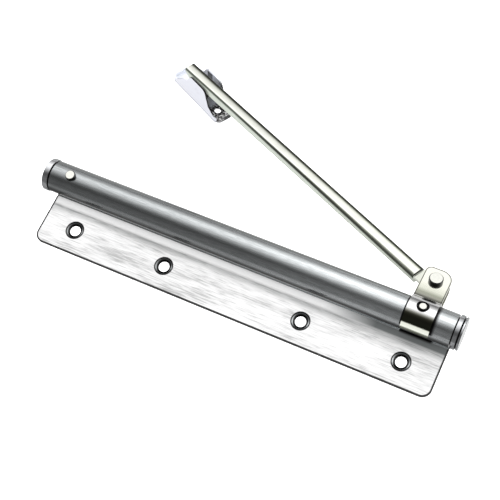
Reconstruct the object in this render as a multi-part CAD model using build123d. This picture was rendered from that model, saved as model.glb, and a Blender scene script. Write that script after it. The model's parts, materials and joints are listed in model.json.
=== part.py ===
from build123d import *
import math
import os

# Surface-mounted tubular spring door closer, in millimetres.
# X runs along the tube, Y across from the flange to the tube, Z up from the flange's back.
# The origin is the centre of the line of screw holes, on the flange's back face.

# flange
FLANGE_LEFT = -120.5
FLANGE_RIGHT = 120.5
FLANGE_FRONT = -13.7
SHEET = 1.5
CORNER_R = 5.5
OUTER_HOLE_X = 100.0
INNER_HOLE_X = 42.0
HOLE_R = 3.1
SINK_R = 5.3
SINK_DEPTH = 1.1

# tube; its end rims stand proud of it and lie level with the flange's back
TUBE_FRONT = 14.5
TUBE_R = 9.2
RIM_PROUD = 0.4
RIM_R = TUBE_R + RIM_PROUD
AXIS_Y = TUBE_FRONT + TUBE_R
AXIS_Z = RIM_R
BORE_R = TUBE_R - SHEET
TUBE_LEFT = -122.7
TUBE_RIGHT = 120.1

# window for the drive pin
WINDOW_LEFT = 95.0
WINDOW_RIGHT = 107.5
WINDOW_BACK_ANGLE = 25.0
WINDOW_FRONT_ANGLE = 152.0
WINDOW_END_HALF = 4.4

# end plugs
RIM_GAP = 0.8
LEFT_RIM_LENGTH = 3.8
RIGHT_RIM_LENGTH = 4.1
LIP_LENGTH = 1.0
LIP_DROP = 0.25
GROOVE_LENGTH = 0.9
GROOVE_DEPTH = 0.9
GROOVE_FLANK = 0.3
PLUG_FIT = 0.04
LEFT_PLUG_END = -100.0
RIGHT_PLUG_END = 113.0
PLUG_EDGE_R = 0.9
KEY_ACROSS = 8.0
KEY_DEPTH = 3.5

# lock pin in the left plug
LOCK_X = -110.3
LOCK_R = 2.85
LOCK_PROUD = 2.0
LOCK_DEPTH = 4.0
LOCK_FIT = 0.04
LOCK_CHAMFER = 0.4

# torsion spring
WIRE = 2.4
COIL_GAP = 0.8
COIL_R = BORE_R - COIL_GAP - WIRE / 2
COIL_TURNS = 18
COIL_SEAT_GAP = 0.1
COIL_SLACK = 1.0
NOSE_GAP = 0.2
NOSE_R = COIL_R - WIRE / 2 - NOSE_GAP
NOSE_LENGTH = 12.0

# spindle and thrust washer
SPINDLE_FIT = 0.08
SPINDLE_R = BORE_R - SPINDLE_FIT
SPINDLE_LEFT = 88.0
WASHER_THICK = 0.8
WASHER_DROP = 0.3
AXIAL_PLAY = 0.1
WASHER_LAND = 3.62
JOURNAL_R = SPINDLE_R - WASHER_LAND
JOURNAL_FIT = 0.05
JOURNAL_LENGTH = 7.0
JOURNAL_END_GAP = 0.5

# collar strap, in its own tilted frame: X, t across, d up from the tube's axis
TILT = 17.0
STRAP_LEFT = 93.5
STRAP_RIGHT = 109.05
STRAP_FIT = 0.1
STRAP_SHEET = 1.2
STRAP_INNER_R = TUBE_R + STRAP_FIT
STRAP_OUTER_R = STRAP_INNER_R + STRAP_SHEET
FOLD_R = 5.0
EAR_THICK = 1.4
UPPER_EAR_TOP = 7.5
LOWER_EAR_TOP = 0.1
EAR_REACH = 18.4
EAR_END = STRAP_OUTER_R + EAR_REACH
EAR_LEFT_R = 3.5
EAR_RIGHT_R = 6.5

# drive pin
DRIVE_R = 2.2
DRIVE_FOOT = 2.0
DRIVE_FOOT_GAP = 0.2
DRIVE_PROUD = 0.1
DRIVE_TOP = STRAP_OUTER_R + DRIVE_PROUD
DRIVE_CHAMFER = 0.35
DRIVE_FIT = 0.03
DRIVE_SINK_R = 3.4
DRIVE_SINK_DEPTH = 0.9

# pivot rivet
RIVET_X = 101.0
RIVET_EDGE = 8.2
RIVET_T = EAR_END - RIVET_EDGE
RIVET_R = 2.0
RIVET_FIT = 0.05
RIVET_HEAD_R = 3.9
RIVET_HEAD_HEIGHT = 2.4
RIVET_TAIL_R = 3.2
RIVET_TAIL_HEIGHT = 1.2
RIVET_CHAMFER = 0.5
SPACER_R = 3.6
SPACER_GAP = 0.1

# arm, in its own frame: s from the rivet along the arm, c across, d up
ARM_ANGLE = 25.3
ARM_HALF = 4.0
ARM_SHEET = 1.2
ARM_TOP = 3.2
ARM_BOTTOM = -2.3
ARM_BEND_R = 2.0
ARM_START = 12.0
ARM_WALL_START = 9.8
ARM_WALL_SLANT = 1.6
ARM_END = 218.5
ARM_END_BOTTOM = 213.0
LUG_BOTTOM = 0.2
LUG_END = 34.0
LUG_SIDE_GAP = 0.05

# roller and its pin
ROLLER_S = 204.5
ROLLER_D = -5.0
ROLLER_TOP_GAP = 0.1
ROLLER_R = ARM_TOP - ARM_SHEET - ROLLER_TOP_GAP - ROLLER_D
ROLLER_SIDE_GAP = 0.3
ROLLER_HALF = ARM_HALF - ARM_SHEET - ROLLER_SIDE_GAP
ROLLER_EDGE = 0.6
PIN_R = 1.5
PIN_FIT = 0.05

# foot, in its own pitched frame about the pin: p along, q across, r up
FOOT_PITCH = 5.45
FOOT_SHEET = 1.0
FOOT_ARM_GAP = 1.93
FOOT_HALF = ARM_HALF + FOOT_ARM_GAP + FOOT_SHEET
FOOT_SHIFT = -1.57
FOOT_FLOOR = -11.88
FOOT_TAIL = -21.5
FOOT_END = 26.3
FOOT_TAIL_R = 4.2
FOOT_END_R = 3.4
FOOT_TAIL_RIM = -8.1
FOOT_END_RIM = -8.3
FOOT_HOLE_P = 13.0
FOOT_HOLE_R = 2.1

# profile of the foot's lobes: corners from the tail to the end, with the radius at the two top ones
LOBE_CORNER_R = 3.6
LOBE_TOP = 6.1
LOBE_TAIL_FOOT = (-17.2, FOOT_TAIL_RIM)
LOBE_TAIL_KNEE = (-11.6, -4.6)
LOBE_TAIL_TOP = (-7.0, LOBE_TOP)
LOBE_END_TOP = (7.2, LOBE_TOP)
LOBE_END_KNEE = (10.4, 0.3)
LOBE_END_SLOPE = (14.5, -1.6)
LOBE_END_FOOT = (21.8, FOOT_END_RIM)

# how far cutting tools reach past what they cut
CUT_MARGIN = 1.0

collar_frame = Location((0, AXIS_Y, AXIS_Z), (-TILT, 0, 0))
arm_frame = collar_frame * Location((RIVET_X, RIVET_T, 0), (0, 0, 180.0 - ARM_ANGLE))
foot_frame = arm_frame * Location((ROLLER_S, 0, ROLLER_D), (0, -FOOT_PITCH, 0))


def along_x(radius, start, end):
    """A round bar along the tube's axis, from one X to another."""
    bar = Cylinder(radius, end - start, align=(Align.CENTER, Align.CENTER, Align.MIN))
    return Location((start, AXIS_Y, AXIS_Z), (0, 90, 0)) * bar


def upright(radius, bottom, top, x=0.0, y=0.0):
    """A round bar along the local Z."""
    bar = Cylinder(radius, top - bottom, align=(Align.CENTER, Align.CENTER, Align.MIN))
    return Pos(x, y, bottom) * bar


def across(radius, half):
    """A round bar along the local Y, centred on the origin."""
    return Rot(90, 0, 0) * Cylinder(radius, 2 * half)


def block(x0, x1, y0, y1, z0, z1):
    """A box between the given limits."""
    return Pos(x0, y0, z0) * Box(x1 - x0, y1 - y0, z1 - z0, align=(Align.MIN, Align.MIN, Align.MIN))


def edges_at(part, axis, point, reach=0.05):
    """Edges parallel to an axis whose middle lies at a point across that axis."""
    found = []
    for edge in part.edges().filter_by(axis):
        offset = edge.center() - Vector(*point)
        along = offset.dot(axis.direction)
        if (offset - axis.direction * along).length < reach:
            found.append(edge)
    return found


def make_flange_tube():
    """One rolled sheet: a flat flange that ends in a tube, with screw holes and a window."""
    flange = block(FLANGE_LEFT, FLANGE_RIGHT, FLANGE_FRONT, AXIS_Y, 0, SHEET)
    for x in (FLANGE_LEFT, FLANGE_RIGHT):
        flange = fillet(edges_at(flange, Axis.Z, (x, FLANGE_FRONT, 0)), CORNER_R)
    shell = flange + along_x(TUBE_R, TUBE_LEFT, TUBE_RIGHT) - along_x(BORE_R, TUBE_LEFT - CUT_MARGIN, TUBE_RIGHT + CUT_MARGIN)
    for x in (-OUTER_HOLE_X, -INNER_HOLE_X, INNER_HOLE_X, OUTER_HOLE_X):
        shell -= upright(HOLE_R, -CUT_MARGIN, SHEET + CUT_MARGIN, x)
        sink = Cone(HOLE_R, SINK_R, SINK_DEPTH, align=(Align.CENTER, Align.CENTER, Align.MAX))
        shell -= Pos(x, 0, SHEET) * sink
    shell -= make_window_cutter()
    shell -= upright(LOCK_R + LOCK_FIT, AXIS_Z, AXIS_Z + 2 * TUBE_R, LOCK_X, AXIS_Y)
    return shell


def make_window_cutter():
    """A sector over the tube's top with a blunt rounded end towards the flange."""
    reach = 2 * TUBE_R
    corners = [(0, 0)]
    steps = 4
    for i in range(steps + 1):
        angle = WINDOW_BACK_ANGLE + (WINDOW_FRONT_ANGLE - WINDOW_BACK_ANGLE) * i / steps
        corners.append((reach * math.cos(math.radians(angle)), reach * math.sin(math.radians(angle))))
    face = Plane.YZ * make_face(Polyline(*corners, close=True))
    width = WINDOW_RIGHT - WINDOW_LEFT
    sector = Pos(WINDOW_LEFT, AXIS_Y, AXIS_Z) * extrude(face, amount=width, dir=(1, 0, 0))
    end = extrude(Ellipse(width / 2, WINDOW_END_HALF), amount=reach)
    turned = Location(((WINDOW_LEFT + WINDOW_RIGHT) / 2, AXIS_Y, AXIS_Z), (WINDOW_FRONT_ANGLE - 90, 0, 0))
    return sector + turned * end


def make_left_plug():
    """Fixed plug that anchors the spring, with four radial holes for the lock pin."""
    rim_end = TUBE_LEFT - RIM_GAP
    rim = along_x(RIM_R, rim_end - LEFT_RIM_LENGTH, rim_end)
    rim = fillet(rim.edges().filter_by(GeomType.CIRCLE), PLUG_EDGE_R)
    plug = rim + along_x(BORE_R - PLUG_FIT, rim_end - PLUG_EDGE_R, LEFT_PLUG_END)
    plug += along_x(NOSE_R, LEFT_PLUG_END - CUT_MARGIN, LEFT_PLUG_END + NOSE_LENGTH)
    for turn in (0, 90, 180, 270):
        hole = upright(LOCK_R + LOCK_FIT, BORE_R - LOCK_DEPTH, BORE_R + CUT_MARGIN)
        plug -= Location((LOCK_X, AXIS_Y, AXIS_Z), (turn, 0, 0)) * hole
    key = extrude(RegularPolygon(KEY_ACROSS / 2, 6, major_radius=False), amount=KEY_DEPTH)
    plug -= Location((rim_end - LEFT_RIM_LENGTH, AXIS_Y, AXIS_Z), (0, 90, 0)) * key
    return plug


def make_lock_pin():
    """Pin through the tube wall that holds the left plug at its winding step."""
    bottom = AXIS_Z + BORE_R - LOCK_DEPTH
    pin = upright(LOCK_R, bottom, AXIS_Z + TUBE_R + LOCK_PROUD, LOCK_X, AXIS_Y)
    return chamfer(pin.edges().sort_by(Axis.Z)[-1], LOCK_CHAMFER)


def make_right_plug():
    """Bearing plug for the spindle's journal, with a stepped rim."""
    start = TUBE_RIGHT + RIM_GAP
    end = start + RIGHT_RIM_LENGTH
    groove_start = end - LIP_LENGTH - GROOVE_LENGTH
    lip_r = RIM_R - LIP_DROP
    profile = Polyline(
        (0, RIGHT_PLUG_END),
        (BORE_R - PLUG_FIT, RIGHT_PLUG_END),
        (BORE_R - PLUG_FIT, start),
        (RIM_R, start),
        (RIM_R, groove_start),
        (RIM_R - GROOVE_DEPTH, groove_start + GROOVE_FLANK),
        (RIM_R - GROOVE_DEPTH, end - LIP_LENGTH - GROOVE_FLANK),
        (lip_r, end - LIP_LENGTH),
        (lip_r, end - GROOVE_FLANK),
        (lip_r - GROOVE_FLANK, end),
        (0, end),
        close=True,
    )
    plug = revolve(make_face(profile), Axis.Y)
    plug = Location((0, AXIS_Y, AXIS_Z), (0, 0, -90)) * plug
    depth = RIGHT_PLUG_END + JOURNAL_LENGTH
    return plug - along_x(JOURNAL_R + JOURNAL_FIT, RIGHT_PLUG_END - CUT_MARGIN, depth)


def make_thrust_washer():
    """Washer between the spindle's shoulder and the bearing plug."""
    start = RIGHT_PLUG_END - WASHER_THICK
    ring = along_x(SPINDLE_R - WASHER_DROP, start, RIGHT_PLUG_END)
    hole = along_x(JOURNAL_R + JOURNAL_FIT, start - CUT_MARGIN, RIGHT_PLUG_END + CUT_MARGIN)
    return ring - hole


def make_spring():
    """Square-wire torsion spring between the left plug and the spindle."""
    start = LEFT_PLUG_END + COIL_SEAT_GAP + WIRE / 2
    length = SPINDLE_LEFT - COIL_SEAT_GAP - WIRE / 2 - start - COIL_SLACK
    path = Helix(pitch=length / COIL_TURNS, height=length, radius=COIL_R)
    section = Plane(origin=path @ 0, x_dir=(1, 0, 0), z_dir=path % 0) * Rectangle(WIRE, WIRE)
    coil = sweep(section, path=path, is_frenet=True)
    return Location((start + COIL_SLACK / 2, AXIS_Y, AXIS_Z), (0, 90, 0)) * coil


def make_spindle():
    """Round bar that turns in the tube and carries the spring's moving end."""
    end = RIGHT_PLUG_END - WASHER_THICK - AXIAL_PLAY
    bar = along_x(SPINDLE_R, SPINDLE_LEFT, end)
    bar += along_x(NOSE_R, SPINDLE_LEFT - NOSE_LENGTH, SPINDLE_LEFT + CUT_MARGIN)
    bar += along_x(JOURNAL_R, end - CUT_MARGIN, RIGHT_PLUG_END + JOURNAL_LENGTH - JOURNAL_END_GAP)
    hole = upright(DRIVE_R + DRIVE_FIT, DRIVE_FOOT - DRIVE_FOOT_GAP, TUBE_R, (STRAP_LEFT + STRAP_RIGHT) / 2)
    return bar - collar_frame * hole


def make_collar_strap():
    """C-shaped strap over the tube with two ears behind it for the arm."""
    width = STRAP_RIGHT - STRAP_LEFT
    ring = Rot(0, 90, 0) * Cylinder(STRAP_OUTER_R, width, align=(Align.CENTER, Align.CENTER, Align.MIN))
    bore = Rot(0, 90, 0) * Cylinder(STRAP_INNER_R, width, align=(Align.CENTER, Align.CENTER, Align.MIN))
    reach = 2 * STRAP_OUTER_R
    ring = ring & block(0, width, -reach, reach, 0, reach)
    fold_t = math.sqrt(STRAP_OUTER_R ** 2 - UPPER_EAR_TOP ** 2)
    upper = block(0, width, fold_t - 2, EAR_END, UPPER_EAR_TOP - EAR_THICK, UPPER_EAR_TOP)
    strap = ring + upper
    strap = fillet(edges_at(strap, Axis.X, (0, fold_t, UPPER_EAR_TOP)), FOLD_R)
    strap += block(0, width, STRAP_INNER_R - 0.5, EAR_END, LOWER_EAR_TOP - EAR_THICK, LOWER_EAR_TOP)
    strap -= bore
    strap = fillet(edges_at(strap, Axis.Z, (0, EAR_END, 0)), EAR_LEFT_R)
    strap = fillet(edges_at(strap, Axis.Z, (width, EAR_END, 0)), EAR_RIGHT_R)
    strap -= upright(RIVET_R + RIVET_FIT, -reach, reach, RIVET_X - STRAP_LEFT, RIVET_T)
    strap -= upright(DRIVE_R + DRIVE_FIT, STRAP_OUTER_R / 2, reach, width / 2)
    strap -= upright(DRIVE_SINK_R, STRAP_OUTER_R - DRIVE_SINK_DEPTH, STRAP_OUTER_R + CUT_MARGIN, width / 2)
    return collar_frame * (Pos(STRAP_LEFT, 0, 0) * strap)


def make_drive_pin():
    """Pin that carries the strap's turn through the window to the spindle."""
    pin = upright(DRIVE_R, DRIVE_FOOT, DRIVE_TOP, (STRAP_LEFT + STRAP_RIGHT) / 2)
    return collar_frame * chamfer(pin.edges().sort_by(Axis.Z)[-1], DRIVE_CHAMFER)


def make_pivot_rivet():
    """Headed rivet through both ears and the arm's lug."""
    head = upright(RIVET_HEAD_R, UPPER_EAR_TOP, UPPER_EAR_TOP + RIVET_HEAD_HEIGHT)
    head = chamfer(head.edges().sort_by(Axis.Z)[-1], RIVET_CHAMFER)
    bottom = LOWER_EAR_TOP - EAR_THICK
    rivet = head + upright(RIVET_R, bottom, UPPER_EAR_TOP + CUT_MARGIN)
    rivet += upright(RIVET_TAIL_R, bottom - RIVET_TAIL_HEIGHT, bottom)
    return collar_frame * (Pos(RIVET_X, RIVET_T, 0) * rivet)


def make_pivot_spacer():
    """Spacer ring on the rivet between the lug and the upper ear."""
    bottom = ARM_TOP - ARM_SHEET + SPACER_GAP
    top = UPPER_EAR_TOP - EAR_THICK
    hole = upright(RIVET_R + RIVET_FIT, bottom - CUT_MARGIN, top + CUT_MARGIN)
    return collar_frame * (Pos(RIVET_X, RIVET_T, 0) * (upright(SPACER_R, bottom, top) - hole))


def make_arm_channel():
    """Pressed channel, open below, with slanted far ends on its side walls."""
    outer = block(ARM_WALL_START, ARM_END, -ARM_HALF, ARM_HALF, ARM_BOTTOM, ARM_TOP)
    for c in (-ARM_HALF, ARM_HALF):
        outer = fillet(edges_at(outer, Axis.X, (0, c, ARM_TOP)), ARM_BEND_R)
    half = ARM_HALF - ARM_SHEET
    start = ARM_WALL_START - CUT_MARGIN
    inner = block(start, ARM_END + CUT_MARGIN, -half, half, ARM_BOTTOM - CUT_MARGIN, ARM_TOP - ARM_SHEET)
    for c in (-half, half):
        inner = fillet(edges_at(inner, Axis.X, (0, c, ARM_TOP - ARM_SHEET)), ARM_BEND_R - ARM_SHEET)
    far_end = Polyline(
        (ARM_END, ARM_TOP - ARM_SHEET),
        (ARM_END_BOTTOM, ARM_BOTTOM - CUT_MARGIN),
        (ARM_END + CUT_MARGIN, ARM_BOTTOM - CUT_MARGIN),
        (ARM_END + CUT_MARGIN, ARM_TOP - ARM_SHEET),
        close=True,
    )
    near_end = Polyline(
        (ARM_WALL_START - CUT_MARGIN, ARM_BOTTOM - CUT_MARGIN),
        (ARM_WALL_START + ARM_WALL_SLANT, ARM_BOTTOM - CUT_MARGIN),
        (ARM_WALL_START, LUG_BOTTOM),
        (ARM_START, LUG_BOTTOM),
        (ARM_START, ARM_TOP + CUT_MARGIN),
        (ARM_WALL_START - CUT_MARGIN, ARM_TOP + CUT_MARGIN),
        close=True,
    )
    channel = outer - inner
    for end in (far_end, near_end):
        channel -= extrude(Plane.XZ * make_face(end), amount=2 * ARM_HALF, both=True)
    return arm_frame * channel


def make_arm_lug():
    """Flat bar pressed into the channel, with a round eye for the rivet."""
    top = ARM_TOP - ARM_SHEET
    eye = upright(ARM_HALF, LUG_BOTTOM, top) + block(0, ARM_START, -ARM_HALF, ARM_HALF, LUG_BOTTOM, top)
    half = ARM_HALF - ARM_SHEET - LUG_SIDE_GAP
    tongue = block(ARM_START, LUG_END, -half, half, LUG_BOTTOM, top)
    for c in (-half, half):
        tongue = chamfer(edges_at(tongue, Axis.X, (0, c, top)), ARM_BEND_R - ARM_SHEET)
    hole = upright(RIVET_R + RIVET_FIT, LUG_BOTTOM - CUT_MARGIN, top + CUT_MARGIN)
    return arm_frame * (eye + tongue - hole)


def make_foot_pin():
    """Flush pin through both lobes of the foot."""
    return foot_frame * (Pos(0, FOOT_SHIFT, 0) * across(PIN_R, FOOT_HALF))


def make_roller():
    """Roller that carries the arm's web and is guided by its side walls."""
    wheel = across(ROLLER_R, ROLLER_HALF)
    wheel = chamfer(wheel.edges().filter_by(GeomType.CIRCLE), ROLLER_EDGE)
    return foot_frame * (wheel - across(PIN_R + PIN_FIT, 2 * ROLLER_HALF))


def foot_outline(inset):
    """Plan outline of the tray, moved inwards by the given amount."""
    x0 = FOOT_TAIL + inset
    x1 = FOOT_END - inset
    half = FOOT_HALF - inset
    plan = Pos((x0 + x1) / 2, FOOT_SHIFT) * Rectangle(x1 - x0, 2 * half)
    tail = [v for v in plan.vertices() if v.X < 0]
    plan = fillet(tail, FOOT_TAIL_R - inset)
    front = [v for v in plan.vertices() if v.X > x1 - CUT_MARGIN / 2]
    return fillet(front, FOOT_END_R - inset)


def make_foot_bracket():
    """Pressed tray with a low rim all round and a tall lobe on each side."""
    low = FOOT_FLOOR - CUT_MARGIN
    corners = (
        (FOOT_TAIL - CUT_MARGIN, low),
        (FOOT_TAIL - CUT_MARGIN, FOOT_TAIL_RIM),
        LOBE_TAIL_FOOT,
        LOBE_TAIL_KNEE,
        LOBE_TAIL_TOP,
        LOBE_END_TOP,
        LOBE_END_KNEE,
        LOBE_END_SLOPE,
        LOBE_END_FOOT,
        (FOOT_END + CUT_MARGIN, FOOT_END_RIM),
        (FOOT_END + CUT_MARGIN, low),
    )
    side = make_face(Polyline(*corners, close=True))
    side = fillet([v for v in side.vertices() if v.Y > LOBE_TOP - CUT_MARGIN], LOBE_CORNER_R)
    keep = extrude(Plane.XZ * side, amount=2 * FOOT_HALF, both=True)
    height = 2 * LOBE_TOP - FOOT_FLOOR
    outer = Pos(0, 0, FOOT_FLOOR) * extrude(foot_outline(0), amount=height)
    hollow = Pos(0, 0, FOOT_FLOOR + FOOT_SHEET) * extrude(foot_outline(FOOT_SHEET), amount=height)
    tray = (outer - hollow) & keep
    for p in (-FOOT_HOLE_P, FOOT_HOLE_P):
        tray -= upright(FOOT_HOLE_R, FOOT_FLOOR - CUT_MARGIN, FOOT_FLOOR + 2 * FOOT_SHEET, p, FOOT_SHIFT)
    tray -= across(PIN_R + PIN_FIT, 2 * FOOT_HALF)
    return foot_frame * tray


PARTS = {
    "flange_tube": make_flange_tube,
    "left_plug": make_left_plug,
    "lock_pin": make_lock_pin,
    "right_plug": make_right_plug,
    "thrust_washer": make_thrust_washer,
    "torsion_spring": make_spring,
    "spindle": make_spindle,
    "collar_strap": make_collar_strap,
    "drive_pin": make_drive_pin,
    "pivot_rivet": make_pivot_rivet,
    "pivot_spacer": make_pivot_spacer,
    "arm_channel": make_arm_channel,
    "arm_lug": make_arm_lug,
    "foot_pin": make_foot_pin,
    "roller": make_roller,
    "foot_bracket": make_foot_bracket,
}

os.makedirs("parts", exist_ok=True)
for name, make in PARTS.items():
    shape = make()
    export_step(shape, "parts/" + name + ".step")
    print(name, round(shape.volume, 1), "mm3")
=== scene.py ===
import bpy
import json
import math
from mathutils import Matrix, Vector


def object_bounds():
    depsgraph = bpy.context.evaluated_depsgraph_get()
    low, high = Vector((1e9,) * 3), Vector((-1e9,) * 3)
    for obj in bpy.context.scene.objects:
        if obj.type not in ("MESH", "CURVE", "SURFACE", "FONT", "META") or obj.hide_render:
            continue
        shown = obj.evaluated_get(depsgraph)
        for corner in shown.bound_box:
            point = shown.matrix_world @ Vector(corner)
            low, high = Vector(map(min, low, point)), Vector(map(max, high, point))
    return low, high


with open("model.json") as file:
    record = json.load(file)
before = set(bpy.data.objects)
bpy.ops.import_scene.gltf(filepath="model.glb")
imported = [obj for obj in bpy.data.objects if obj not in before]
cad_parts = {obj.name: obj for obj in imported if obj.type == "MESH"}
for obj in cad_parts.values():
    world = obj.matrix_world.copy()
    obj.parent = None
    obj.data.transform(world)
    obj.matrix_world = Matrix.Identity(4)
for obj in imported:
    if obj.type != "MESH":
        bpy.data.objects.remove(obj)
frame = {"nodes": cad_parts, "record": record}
cad_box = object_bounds()

# camera: places in metres in the row frame, lens and sensor in millimetres
EYE = Vector((0.1698, -0.1630, 0.5719))
LOOK = Vector((-0.27336, 0.30421, -0.91254))
RIGHT = Vector((0.89656, 0.42428, -0.12713))
LENS = 81.0
SENSOR = 36.0
NEAR_CLIP = 0.01

# floor and lamps, in metres and watts; the floor's glow grows along Y between the two GLOW values
FLOOR_HALF = 2.0
FLOOR_GAP = 0.0003
GLOW_START = -0.01
GLOW_FULL = 0.02
LAMP_SIZE = 0.5
KEY_PLACE = (-0.25, -0.15, 1.1)
KEY_TARGET = (0.0, 0.05, 0.0)
KEY_POWER = 4.5
FILL_PLACE = (0.0, -0.6, 0.4)
FILL_TARGET = (0.0, 0.02, 0.0)
FILL_POWER = 3.5

# the flange and its tube, in metres; on each side of the middle, two holes lie HOLE_SPREAD before and
# after HOLE_MIDDLE, and the strip is the tube's white reflection in the flange
FLANGE_END = 0.1205
FLANGE_FRONT = -0.0137
CORNER_R = 0.0055
HOLE_MIDDLE = 0.071
HOLE_SPREAD = 0.029
HOLE_R = 0.003
SINK_R = 0.0056
TUBE_START = 0.0155
STRIP_START = 0.0108
STRIP_FADE = 0.0015
# towards the collar, the strip's painted white reflection turns to a painted dark shade between these
# two X values
STRIP_DARK_START = 0.05
STRIP_DARK_FULL = 0.08
AXIS_Y = 0.0237
AXIS_Z = 0.0096
RIM_R = 0.0096

# the collar's strap, in metres and as directions; SEAT_R is the round seat of the drive pin at DRIVE_X
STRAP_EDGE = 0.0935
STRAP_HALF = 0.0078
STRAP_R = 0.0105
DRIVE_X = 0.101275
SEAT_R = 0.0034
EAR_START = 0.009
EAR_END = 0.0289
EAR_CORNER = 0.0035
EAR_CORNER_GAIN = 0.003
COLLAR_ACROSS = (0.0, 0.95631, -0.29237)
COLLAR_UP = (0.0, 0.29237, 0.95631)
UP = (0.0, 0.0, 1.0)

# the arm, in metres and as directions; its up is the collar's, as it turns on the rivet
RIVET = (0.101, 0.0435, 0.00355)
ARM_ALONG = (-0.90408, 0.40868, -0.12495)
ARM_ACROSS = (-0.42736, -0.86458, 0.26433)
WEB_START = 0.012
LINE_CLIMB = 0.0019

# the foot, in metres from the rivet along the arm, across it and up
FOOT_PIN = 0.2045
FOOT_PIN_DROP = 0.005
# cosine and sine of the foot's pitch of 5.45 degrees
FOOT_COS = 0.9955
FOOT_SIN = 0.095
FOOT_BASE = -0.0112
TAIL_START = 0.1825
TAIL_END = 0.2
TAIL_SIDE = 0.0049
TAIL_LIP = 0.19
CREST_START = 0.188
CREST_END = 0.2135
CREST_SIDE = 0.0042
FAR_SIDE = -0.004
# start and end of each dark mark on the far lobe
MARKS = ((0.205, 0.2105), (0.1915, 0.1955))
MARK_FADE = 0.0005

WHITE = (1.0, 1.0, 1.0)
# near black, for painted shade on the flange and for the arm's black end by the rivet
NEAR_BLACK = (0.02, 0.02, 0.02)
BLACK = (0.01, 0.01, 0.01)
EVEN = (1.0, 1.0, 1.0)
BUMP_DEPTH = 0.0002


class Tree:
    """A node tree, with short ways to build masks and colours in it."""

    def __init__(self, owner):
        owner.use_nodes = True
        self.nodes = owner.node_tree.nodes
        self.links = owner.node_tree.links
        self.nodes.clear()

    def add(self, kind, **values):
        """A node of a kind, with its settings, and its inputs named as in_Name."""
        node = self.nodes.new(kind)
        for key, value in values.items():
            if key.startswith("in_"):
                node.inputs[key[3:].replace("_", " ")].default_value = value
            else:
                setattr(node, key, value)
        return node

    def feed(self, socket, value):
        """Puts a number, a colour or another node's output into an input."""
        if isinstance(value, (int, float)):
            socket.default_value = value
        elif isinstance(value, tuple):
            socket.default_value = (*value, 1.0)
        else:
            self.links.new(value, socket)

    def maths(self, operation, *values):
        """A maths node on sockets or numbers."""
        node = self.add("ShaderNodeMath", operation=operation)
        for socket, value in zip(node.inputs, values):
            self.feed(socket, value)
        return node.outputs[0]

    def less(self, a, b):
        """The first value less the second."""
        return self.maths("SUBTRACT", a, b)

    def size(self, a):
        """A value without its sign."""
        return self.maths("ABSOLUTE", a)

    def linear(self, source, slope, start):
        """A start value plus a share of a socket."""
        return self.maths("MULTIPLY_ADD", source, slope, start)

    def both(self, factor, *others):
        """The product of factors, which holds where all of them hold."""
        for other in others:
            factor = self.maths("MULTIPLY", factor, other)
        return factor

    def either(self, factor, *others):
        """The largest of factors, which holds where any of them holds."""
        for other in others:
            factor = self.maths("MAXIMUM", factor, other)
        return factor

    def distance(self, a, b):
        """The distance that two values at a right angle make."""
        return self.maths("SQRT", self.maths("ADD", self.both(a, a), self.both(b, b)))

    def step(self, source, start, end):
        """A factor that goes from 0 to 1 between two values of a socket."""
        node = self.add("ShaderNodeMapRange", in_From_Min=start, in_From_Max=end)
        self.links.new(source, node.inputs["Value"])
        return node.outputs["Result"]

    def within(self, source, rise, fall):
        """A factor that rises over one pair of values and falls over another."""
        return self.both(self.step(source, *rise), self.step(source, fall[1], fall[0]))

    def ramp(self, source, stops):
        """A colour ramp on a socket; stops are (position, grey or colour)."""
        node = self.add("ShaderNodeValToRGB")
        elements = node.color_ramp.elements
        while len(elements) < len(stops):
            elements.new(0.5)
        for element, (position, colour) in zip(elements, stops):
            element.position = position
            if isinstance(colour, (int, float)):
                colour = (colour, colour, colour)
            element.color = (*colour, 1.0)
        self.links.new(source, node.inputs["Fac"])
        return node.outputs["Color"]

    def mix(self, factor, a, b, blend="MIX"):
        """A colour mix of two sockets or colours."""
        node = self.add("ShaderNodeMix", data_type="RGBA", blend_type=blend)
        for index, value in ((0, factor), (6, a), (7, b)):
            self.feed(node.inputs[index], value)
        return node.outputs[2]

    def tint(self, shade, colour):
        """A colour multiplied by a shade."""
        return self.mix(1.0, shade, colour, "MULTIPLY")

    def mottle(self, grain, dark, colour):
        """A colour, darkened where the grain is low."""
        return self.tint(self.ramp(grain, ((0.3, dark), (0.7, 1.0))), colour)

    def noise(self, scale, stretch=EVEN, detail=4.0):
        """Noise in the object's own frame, stretched by a scale on each axis."""
        coords = self.add("ShaderNodeTexCoord")
        mapping = self.add("ShaderNodeMapping", in_Scale=stretch)
        self.links.new(coords.outputs["Object"], mapping.inputs["Vector"])
        node = self.add("ShaderNodeTexNoise", in_Scale=scale, in_Detail=detail, in_Roughness=0.55)
        self.links.new(mapping.outputs["Vector"], node.inputs["Vector"])
        return node.outputs["Fac"]

    def split(self, output):
        """The X, Y and Z sockets of one output of the texture coordinates."""
        coords = self.add("ShaderNodeTexCoord")
        parts = self.add("ShaderNodeSeparateXYZ")
        self.links.new(coords.outputs[output], parts.inputs[0])
        return parts.outputs

    def place(self):
        """The position in the object's own frame."""
        return self.split("Object")

    def facing(self):
        """The surface's normal, which turns with the object."""
        return self.split("Normal")

    def along(self, sockets, direction, offset=0.0):
        """A position or normal measured along a direction, less an offset."""
        total = self.both(sockets["X"], direction[0])
        for axis, share in (("Y", direction[1]), ("Z", direction[2])):
            total = self.maths("ADD", total, self.both(sockets[axis], share))
        return self.less(total, offset)

    def finish(self, colour, roughness, metallic, height, bump, depth=BUMP_DEPTH):
        """A principled shader with a bump, joined to the material's output."""
        shader = self.add("ShaderNodeBsdfPrincipled")
        self.feed(shader.inputs["Base Color"], colour)
        self.feed(shader.inputs["Roughness"], roughness)
        self.feed(shader.inputs["Metallic"], metallic)
        relief = self.add("ShaderNodeBump", in_Strength=bump, in_Distance=depth)
        self.links.new(height, relief.inputs["Height"])
        self.links.new(relief.outputs["Normal"], shader.inputs["Normal"])
        self.cover(shader)

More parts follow.
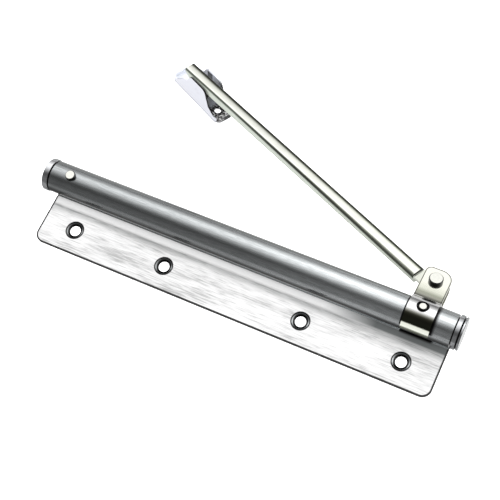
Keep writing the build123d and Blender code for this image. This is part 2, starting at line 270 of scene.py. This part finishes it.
    def cover(self, shader):
        """Joins a shader to the material's output."""
        output = self.add("ShaderNodeOutputMaterial")
        self.links.new(shader.outputs[0], output.inputs["Surface"])


def new_material(name):
    """An empty node material and its tree."""
    material = bpy.data.materials.new(name)
    return material, Tree(material)


def metal(name, colour, roughness, spread, scale, stretch, bump):
    """A plated metal with streaks, uneven gloss and a fine brushed bump."""
    material, tree = new_material(name)
    streaks = tree.noise(scale, stretch)
    clouds = tree.noise(60.0, EVEN, 3.0)
    gloss = tree.linear(clouds, spread, roughness - spread / 2)
    tree.finish(tree.mottle(streaks, 0.85, colour), gloss, 1.0, streaks, bump)
    return material


def plastic(name, colour):
    """A moulded plastic with slight mottling."""
    material, tree = new_material(name)
    grain = tree.noise(900.0)
    tree.finish(tree.mottle(grain, 0.92, colour), 0.45, 0.0, grain, 0.1, BUMP_DEPTH / 2)
    return material


def shaded_edges(tree, where, normal):
    """Painted shade on the flange's front edge and on the ends of the flange and the tube."""
    facing_front = tree.step(normal["Y"], -0.5, -0.8)
    front = tree.both(facing_front, tree.step(where["Y"], TUBE_START, TUBE_START - 0.001))
    ends = tree.step(tree.size(normal["X"]), 0.5, 0.8)
    return tree.either(front, ends)


def flange_outline(tree, where):
    """A thin line of painted edge shade along the flange's outline, round at the corners."""
    out_x = tree.less(tree.size(where["X"]), FLANGE_END - CORNER_R)
    out_y = tree.less(FLANGE_FRONT + CORNER_R, where["Y"])
    border = tree.distance(tree.either(out_x, 0.0), tree.either(out_y, 0.0))
    return tree.step(border, CORNER_R - 0.001, CORNER_R - 0.0008)


def countersink_shade(tree, where):
    """The painted shade of the four countersunk holes: black in the hole and its inner cone, a lighter
    band, and a black ring at the cone's rim.
    """
    from_middle = tree.size(tree.less(tree.size(where["X"]), HOLE_MIDDLE))
    radius = tree.distance(tree.less(from_middle, HOLE_SPREAD), where["Y"])
    return tree.ramp(tree.step(radius, HOLE_R, SINK_R), (
        (0.0, 1.0),
        (0.4, 1.0),
        (0.5, 0.3),
        (0.68, 0.45),
        (0.76, 1.0),
        (0.92, 1.0),
        (1.0, 0.0),
    ))


def collar_shadow(tree, where):
    """Black on the tube under the collar, a thin line past its left side and a fade past its right."""
    rise = (STRAP_EDGE - 0.0011, STRAP_EDGE - 0.0009)
    fall = (STRAP_EDGE + 0.0165, STRAP_EDGE + 0.018)
    beside = tree.within(where["X"], rise, fall)
    return tree.both(beside, tree.step(where["Y"], TUBE_START - 0.001, TUBE_START))


def tube_colour(tree, where, normal):
    """The polished tube: painted shade on its far side, and painted light that makes it brighter to the
    right.
    """
    pale = (0.74, 0.77, 0.78)
    dark = (0.19, 0.2, 0.2)
    # painted shade on the side of the tube that faces +Y
    tube = tree.mix(tree.step(normal["Y"], 0.5, 0.68), pale, dark)
    # painted light: the tube grows brighter to the right
    light = tree.ramp(tree.step(where["X"], -0.12, 0.12), ((0.0, 0.55), (0.5, 0.7), (0.8, 1.0)))
    grain = tree.ramp(tree.noise(1400.0, (0.12, 1.0, 1.0), 6.0), ((0.36, 0.84), (0.6, 1.0)))
    return tree.tint(grain, tree.tint(light, tube))


def tube_reflection_streak(tree, where, flat, fine):
    """The painted dark reflection of the tube's underside on the flange, a broken streak just before
    the white strip.
    """
    rise = (STRIP_START - 0.0035, STRIP_START - 0.0005)
    fall = (STRIP_START, STRIP_START + 0.0006)
    line = tree.within(where["Y"], rise, fall)
    return tree.both(line, flat, tree.step(fine, 0.35, 0.6), 0.75)


def flange_metal():
    """Bright zinc: brushed along the flange, polished on the tube, with painted shade on the edges, in
    the holes and beside the collar, and a painted reflection of the tube along the flange.
    """
    material, tree = new_material("zinc_bright")
    where = tree.place()
    normal = tree.facing()
    fine = tree.noise(1800.0, (0.07, 1.0, 1.0), 6.0)
    streaks = tree.both(fine, tree.noise(160.0, (0.12, 1.0, 1.0)))
    brushed = tree.ramp(streaks, ((0.14, 0.45), (0.22, 0.73), (0.29, 0.84), (0.38, 0.93)))
    level = tree.step(normal["Z"], 0.9, 0.99)
    flat = tree.both(level, tree.step(where["Y"], TUBE_START + 0.0005, TUBE_START))
    strip = tree.both(flat, tree.step(where["Y"], STRIP_START, STRIP_START + STRIP_FADE))
    near_collar = tree.step(where["X"], STRIP_DARK_START, STRIP_DARK_FULL)
    # painted shade: the edges, the outline, the holes and the tube beside the collar are painted near
    # black
    edges = tree.either(
        shaded_edges(tree, where, normal),
        tree.both(flat, flange_outline(tree, where)),
        countersink_shade(tree, where),
        collar_shadow(tree, where),
    )
    colour = tree.mix(flat, tube_colour(tree, where, normal), brushed)
    # painted reflection: a dark streak of the tube's underside on the flange
    colour = tree.mix(tube_reflection_streak(tree, where, flat, fine), colour, (0.22, 0.23, 0.23))
    # painted reflection: the white strip, which turns to a painted dark shade near the collar
    colour = tree.mix(strip, colour, tree.mix(near_collar, WHITE, (0.16, 0.17, 0.17)))
    colour = tree.mix(edges, colour, NEAR_BLACK)
    rough = tree.linear(flat, 0.13, 0.22)
    metallic = tree.less(1.0, tree.both(flat, 0.5))
    metallic = tree.less(metallic, tree.both(strip, 0.45))
    tree.finish(colour, rough, metallic, streaks, 0.15)
    return material


def cap_metal():
    """Bright zinc for the end caps, with painted shade on the far sides and ends, and painted black
    shade in the gaps below the rims.
    """
    material, tree = new_material("zinc_plug")
    where = tree.place()
    normal = tree.facing()
    radius = tree.distance(tree.less(where["Y"], AXIS_Y), tree.less(where["Z"], AXIS_Z))
    end = tree.size(normal["X"])
    # painted shade: the far sides and the ends are dark
    far_side_shade = tree.either(tree.step(normal["Y"], 0.5, 0.7), tree.step(end, 0.5, 0.8))
    # painted shade: black in the gaps below the rims
    gap = tree.both(tree.step(radius, RIM_R - 0.0003, RIM_R - 0.0006), tree.step(end, 0.9, 0.7))
    grain = tree.noise(500.0, (0.3, 1.0, 1.0))
    colour = tree.mottle(grain, 0.85, (0.72, 0.73, 0.75))
    colour = tree.mix(far_side_shade, colour, (0.2, 0.21, 0.21))
    colour = tree.mix(gap, colour, BLACK)
    tree.finish(colour, 0.18, 1.0, grain, 0.04)
    return material


def arm_place(tree):
    """Distances from the rivet along the arm, across it and up from it."""
    where = tree.place()
    return [tree.along(where, axis, Vector(RIVET).dot(Vector(axis)))
            for axis in (ARM_ALONG, ARM_ACROSS, COLLAR_UP)]


def web_colour(tree, across, share):
    """The arm's web, with painted reflections: a dark far bend and a pale top, and painted shade that
    makes it greyer towards the foot.
    """
    pale = (0.95, 0.96, 0.88)
    # painted reflections across the web: a dark far bend and a pale top
    web = tree.ramp(tree.step(across, -0.004, 0.004), (
        (0.0, (0.2, 0.2, 0.18)),
        (0.14, (0.06, 0.07, 0.05)),
        (0.26, (0.05, 0.055, 0.04)),
        (0.325, (0.42, 0.44, 0.37)),
        (0.4, (0.85, 0.87, 0.78)),
        (0.47, pale),
        (0.9, pale),
        (1.0, (0.6, 0.62, 0.54)),
    ))
    # painted shade that darkens the web towards the foot, most at its far side
    shade_to_foot = tree.ramp(tree.step(across, -0.002, 0.0025), (
        (0.0, 0.45),
        (0.3, 0.6),
        (0.5, 0.82),
        (1.0, 0.95),
    ))
    return tree.tint(web, tree.mix(share, WHITE, shade_to_foot))


def wall_colour(tree, height, share):
    """The arm's near wall, with a painted dark reflection line at its bend that climbs towards the
    foot.
    """
    climb = tree.less(height, tree.both(share, LINE_CLIMB))
    wall = tree.ramp(tree.step(climb, -0.0025, 0.0035), (
        (0.0, (0.62, 0.66, 0.58)),
        (0.38, (0.6, 0.64, 0.56)),
        (0.47, (0.2, 0.23, 0.18)),
        (0.55, (0.01, 0.015, 0.005)),
        (0.63, (0.02, 0.025, 0.01)),
        (0.78, (0.3, 0.32, 0.26)),
        (1.0, (0.7, 0.72, 0.64)),
    ))
    return tree.mix(tree.both(share, 0.35), wall, (0.7, 0.76, 0.68))


def arm_metal():
    """Warm nickel with painted reflections: a painted dark far bend, a pale web and a painted dark line
    that climbs the near wall.
    """
    material, tree = new_material("nickel_warm")
    s, across, height = arm_place(tree)
    share = tree.step(s, 0.03, 0.17)
    grain = tree.noise(400.0, (0.2, 0.4, 1.0))
    side = tree.step(tree.along(tree.facing(), ARM_ACROSS), 0.3, 0.5)
    colour = tree.mix(side, web_colour(tree, across, share), wall_colour(tree, height, share))
    colour = tree.mottle(grain, 0.88, colour)
    end = tree.step(s, WEB_START + 0.0006, WEB_START + 0.0004)
    end = tree.both(end, tree.step(height, 0.0021, 0.0023))
    colour = tree.mix(end, colour, NEAR_BLACK)
    metallic = tree.linear(tree.step(colour, 0.5, 0.15), 0.5, 0.5)
    tree.finish(colour, 0.25, metallic, grain, 0.05)
    return material


def band_colour(tree, turn):
    """The strap's band by its turn round the tube, painted with light and shade: from a painted white
    to a painted black to a pale lower lip.
    """
    return tree.ramp(turn, (
        (0.33, 0.5),
        (0.46, 0.95),
        (0.52, 0.9),
        (0.556, (0.42, 0.42, 0.37)),
        (0.59, (0.1, 0.1, 0.07)),
        (0.735, (0.04, 0.045, 0.03)),
        (0.752, (0.06, 0.06, 0.04)),
        (0.772, (0.8, 0.82, 0.72)),
        (0.845, (0.97, 1.0, 0.9)),
        (0.872, (0.12, 0.13, 0.1)),
    ))


def ear_line(tree, across, beside):
    """A thin dark line inside the ear's outline, whose right corner is rounder than its left."""
    corner = tree.linear(tree.step(beside, -0.0005, 0.0005), EAR_CORNER_GAIN, EAR_CORNER)
    out_x = tree.maths("ADD", tree.less(tree.size(beside), STRAP_HALF), corner)
    out_y = tree.maths("ADD", tree.less(across, EAR_END), corner)
    out = tree.distance(tree.either(out_x, 0.0), tree.either(out_y, 0.0))
    return tree.within(tree.less(corner, out), (0.0001, 0.0003), (0.0006, 0.0008))


def ear_colour(tree, across, beside):
    """The ears: a painted grey reflection at the fold and pale at the end, with a thin dark outline."""
    ear = tree.ramp(tree.step(across, EAR_START, EAR_END), (
        (0.0, (0.3, 0.3, 0.26)),
        (0.1, (0.32, 0.33, 0.27)),
        (0.22, (0.64, 0.65, 0.56)),
        (0.45, (0.83, 0.83, 0.74)),
        (1.0, (0.87, 0.87, 0.8)),
    ))
    return tree.mix(ear_line(tree, across, beside), ear, (0.12, 0.12, 0.1))


def strap_metal():
    """Bright nickel, with painted light and shade: pale ears, a band painted from white to black to a
    pale lower lip, and painted black shade in the pin's seat and on the flanks.
    """
    material, tree = new_material("nickel_strap")
    where = tree.place()
    y = tree.less(where["Y"], AXIS_Y)
    z = tree.less(where["Z"], AXIS_Z)
    turn = tree.both(tree.maths("ARCTAN2", z, y), 1 / math.pi)
    ring = tree.step(tree.distance(y, z), STRAP_R + 0.0003, STRAP_R + 0.0001)
    axis_across = Vector((0.0, AXIS_Y, AXIS_Z)).dot(Vector(COLLAR_ACROSS))
    across = tree.along(where, COLLAR_ACROSS, axis_across)
    beside = tree.less(where["X"], DRIVE_X)
    colour = tree.mix(ring, ear_colour(tree, across, beside), band_colour(tree, turn))
    seat = tree.step(tree.distance(across, beside), SEAT_R + 0.0001, SEAT_R)
    flank = tree.step(tree.size(tree.facing()["X"]), 0.6, 0.8)
    # painted shade: black in the drive pin's seat and on the strap's flanks
    colour = tree.mix(tree.either(tree.both(seat, ring), flank), colour, BLACK)
    lip = tree.both(ring, tree.step(turn, 0.752, 0.772))
    metallic = tree.less(1.0, tree.both(lip, 0.9))
    grain = tree.noise(400.0, (1.0, 0.3, 1.0))
    tree.finish(colour, 0.16, metallic, grain, 0.03)
    return material


def pin_metal(name, up):
    """A turned pin with a painted bright top and painted dark shade on its sides."""
    material, tree = new_material(name)
    grain = tree.noise(700.0)
    top = tree.ramp(tree.along(tree.facing(), up), (
        (0.0, 0.01),
        (0.45, 0.02),
        (0.75, 0.1),
        (0.93, 0.15),
        (0.98, (0.84, 0.84, 0.78)),
    ))
    tree.finish(tree.mottle(grain, 0.9, top), 0.3, 0.95, grain, 0.05)
    return material


def tail_shade(tree, s, across, normal):
    """The speckled painted shade inside the tail."""
    tail = tree.both(tree.step(s, TAIL_END, TAIL_END - 0.004),
                     tree.step(across, TAIL_SIDE, TAIL_SIDE - 0.0005))
    tail = tree.both(tail, tree.step(s, TAIL_START, TAIL_START + 0.0015))
    not_far = tree.step(tree.along(normal, ARM_ACROSS), -0.6, -0.4)
    not_below = tree.step(tree.along(normal, COLLAR_UP), -0.6, -0.4)
    return tree.both(tail, tree.both(not_far, not_below))


def lip_shade(tree, s, across, normal):
    """Painted black shade on the end face of the tail, on its far half."""
    facing_rivet = tree.step(tree.along(normal, ARM_ALONG), -0.5, -0.7)
    lip = tree.both(facing_rivet, tree.step(across, 0.0005, -0.0005))
    return tree.both(lip, tree.step(s, TAIL_LIP, TAIL_LIP - 0.002))


def crest_shadow(tree, s, across, side):
    """The painted black shadow line on top of the near lobe."""
    crest = tree.both(tree.step(across, CREST_SIDE, CREST_SIDE + 0.0002),
                      tree.step(s, CREST_END, CREST_END - 0.001))
    crest = tree.both(crest, tree.step(s, CREST_START, CREST_START + 0.001))
    return tree.both(crest, tree.step(side, 0.4, 0.1))


def foot_marks(tree, s, height, lit):
    """The two dark marks on the inside of the far lobe."""
    marks = [tree.within(s, (start, start + MARK_FADE), (end - MARK_FADE, end)) for start, end in MARKS]
    return tree.both(tree.either(*marks), lit, tree.step(height, 0.0008, 0.0003))


def foot_rim(tree, s, height):
    """The grey line where the foot's walls meet its base."""
    raised = tree.both(tree.less(height, -FOOT_PIN_DROP), FOOT_COS)
    base = tree.less(raised, tree.both(tree.less(s, FOOT_PIN), FOOT_SIN))
    return tree.both(tree.step(base, FOOT_BASE + 0.0003, FOOT_BASE), 0.75)


def foot_metal():
    """Bright chrome with a bluish cast, painted shade on the side faces and inside the tail, painted
    black shade on the crest and the tail's end face, and thin black and grey lines.
    """
    material, tree = new_material("chrome_foot")
    s, across, height = arm_place(tree)
    normal = tree.facing()
    side = tree.step(tree.along(normal, ARM_ACROSS), 0.6, 0.8)
    lit = tree.both(tree.step(across, FAR_SIDE, FAR_SIDE - 0.0005), side)
    blotch = tree.noise(350.0, EVEN, 3.0)
    speckle = tree.ramp(tree.noise(800.0, EVEN, 3.0), ((0.4, 0.004), (0.5, 0.06), (0.6, 0.7)))
    black = tree.either(
        lip_shade(tree, s, across, normal),
        crest_shadow(tree, s, across, side),
        foot_marks(tree, s, height, lit),
    )
    pale = tree.mix(blotch, (0.84, 0.87, 0.95), (0.92, 0.94, 0.98))
    # painted shade: the side faces are darker
    colour = tree.mix(side, pale, (0.74, 0.75, 0.82))
    colour = tree.mix(tree.both(foot_rim(tree, s, height), side), colour, (0.2, 0.21, 0.23))
    # painted shade inside the tail
    colour = tree.mix(tail_shade(tree, s, across, normal), colour, speckle)
    # painted black shade on the tail's end and the crest, and the dark marks on the far lobe
    colour = tree.mix(black, colour, BLACK)
    metallic = tree.less(0.6, tree.both(lit, 0.45))
    tree.finish(colour, 0.12, metallic, blotch, 0.02)
    return material


def floor_paper():
    """White to the camera, and to the metal a grey that glows from the tube backwards."""
    material, tree = new_material("floor_paper")
    to_camera = tree.add("ShaderNodeLightPath").outputs["Is Camera Ray"]
    diffuse = tree.add("ShaderNodeBsdfDiffuse")
    tree.feed(diffuse.inputs["Color"], tree.mix(to_camera, (0.25, 0.25, 0.25), WHITE))
    behind = tree.step(tree.place()["Y"], GLOW_START, GLOW_FULL)
    beside = tree.mix(behind, (0.0, 0.0, 0.0), (1.3, 1.3, 1.3))
    glow = tree.add("ShaderNodeEmission", in_Strength=0.7)
    tree.feed(glow.inputs["Color"], tree.mix(to_camera, beside, WHITE))
    total = tree.add("ShaderNodeAddShader")
    tree.feed(total.inputs[0], diffuse.outputs[0])
    tree.feed(total.inputs[1], glow.outputs[0])
    tree.cover(total)
    return material


def make_floor():
    """A white floor just under the object, which shows its soft shadow to the camera."""
    z = cad_box[0][2] - FLOOR_GAP
    turns = ((-1, -1), (1, -1), (1, 1), (-1, 1))
    corners = [(x * FLOOR_HALF, y * FLOOR_HALF, z) for x, y in turns]
    mesh = bpy.data.meshes.new("floor")
    mesh.from_pydata(corners, [], [(0, 1, 2, 3)])
    mesh.materials.append(floor_paper())
    floor = bpy.data.objects.new("floor", mesh)
    bpy.context.scene.collection.objects.link(floor)


def make_camera():
    """The photograph's camera."""
    data = bpy.data.cameras.new("photo_camera")
    data.lens = LENS
    data.sensor_width = SENSOR
    data.clip_start = NEAR_CLIP
    camera = bpy.data.objects.new("photo_camera", data)
    bpy.context.scene.collection.objects.link(camera)
    turn = Matrix((RIGHT, RIGHT.cross(LOOK), -LOOK)).transposed()
    camera.matrix_world = Matrix.Translation(EYE) @ turn.to_4x4()
    bpy.context.scene.camera = camera


def make_world():
    """White to the camera, and a banded studio to the metal's reflections."""
    world = bpy.data.worlds.new("studio")
    bpy.context.scene.world = world
    tree = Tree(world)
    ray = tree.split("Generated")
    angle = tree.maths("ARCTAN2", ray["Z"], ray["Y"])
    turn = tree.linear(angle, 1 / (2 * math.pi), 0.5)
    studio = tree.ramp(turn, (
        (0.375, 0.25),
        (0.50, 0.28),
        (0.536, 0.49),
        (0.589, 1.0),
        (0.62, 1.7),
        (0.66, 1.7),
        (0.69, 1.4),
        (0.714, 1.1),
        (0.769, 0.42),
        (0.806, 0.15),
        (0.842, 0.09),
        (0.881, 0.15),
        (0.917, 0.19),
        (1.0, 0.19),
    ))
    to_camera = tree.add("ShaderNodeLightPath").outputs["Is Camera Ray"]
    background = tree.add("ShaderNodeBackground", in_Strength=1.0)
    tree.feed(background.inputs["Color"], tree.mix(to_camera, studio, WHITE))
    output = tree.add("ShaderNodeOutputWorld")
    tree.feed(output.inputs["Surface"], background.outputs[0])


def add_light(name, place, target, power):
    """A square area light aimed at a point, which the metal doesn't mirror."""
    data = bpy.data.lights.new(name, "AREA")
    data.size = LAMP_SIZE
    data.energy = power
    light = bpy.data.objects.new(name, data)
    light.visible_glossy = False
    bpy.context.scene.collection.objects.link(light)
    aim = (Vector(target) - Vector(place)).to_track_quat("-Z", "Y")
    light.matrix_world = Matrix.Translation(Vector(place)) @ aim.to_matrix().to_4x4()


def paint_nodes():
    """Gives each node its material, by its name or else by its slot in the record."""
    plug = cap_metal()
    collar_pin = pin_metal("collar_pin", COLLAR_UP)
    finishes = {
        "zinc_bright": flange_metal(),
        "nickel_strap": strap_metal(),
        "nickel_warm": arm_metal(),
        "chrome_foot": foot_metal(),
        "spring_steel": metal("spring_steel", (0.16, 0.16, 0.17), 0.35, 0.1, 500.0, EVEN, 0.1),
        "steel_dark": metal("steel_dark", (0.16, 0.19, 0.16), 0.3, 0.1, 900.0, (1.0, 0.1, 0.1), 0.1),
        "brass_washer": metal("brass_washer", (0.72, 0.55, 0.26), 0.25, 0.1, 500.0, EVEN, 0.05),
        "roller_nylon": plastic("roller_nylon", (0.05, 0.05, 0.05)),
    }
    special = {
        "left_plug": plug,
        "right_plug": plug,
        "lock_pin": pin_metal("tube_pin", UP),
        "drive_pin": collar_pin,
        "pivot_rivet": collar_pin,
        "arm_lug": metal("nickel_lug", (0.74, 0.76, 0.68), 0.25, 0.06, 400.0, (1.0, 0.3, 1.0), 0.03),
    }
    for entry in frame["record"]["subparts"]:
        node = frame["nodes"][entry["node"]]
        chosen = special.get(entry["node"], finishes[entry["material_slot"]])
        for slot in node.material_slots:
            slot.material = chosen


make_camera()
make_floor()
make_world()
add_light("key", KEY_PLACE, KEY_TARGET, KEY_POWER)
add_light("fill", FILL_PLACE, FILL_TARGET, FILL_POWER)
paint_nodes()
bpy.context.scene.view_settings.view_transform = "Standard"
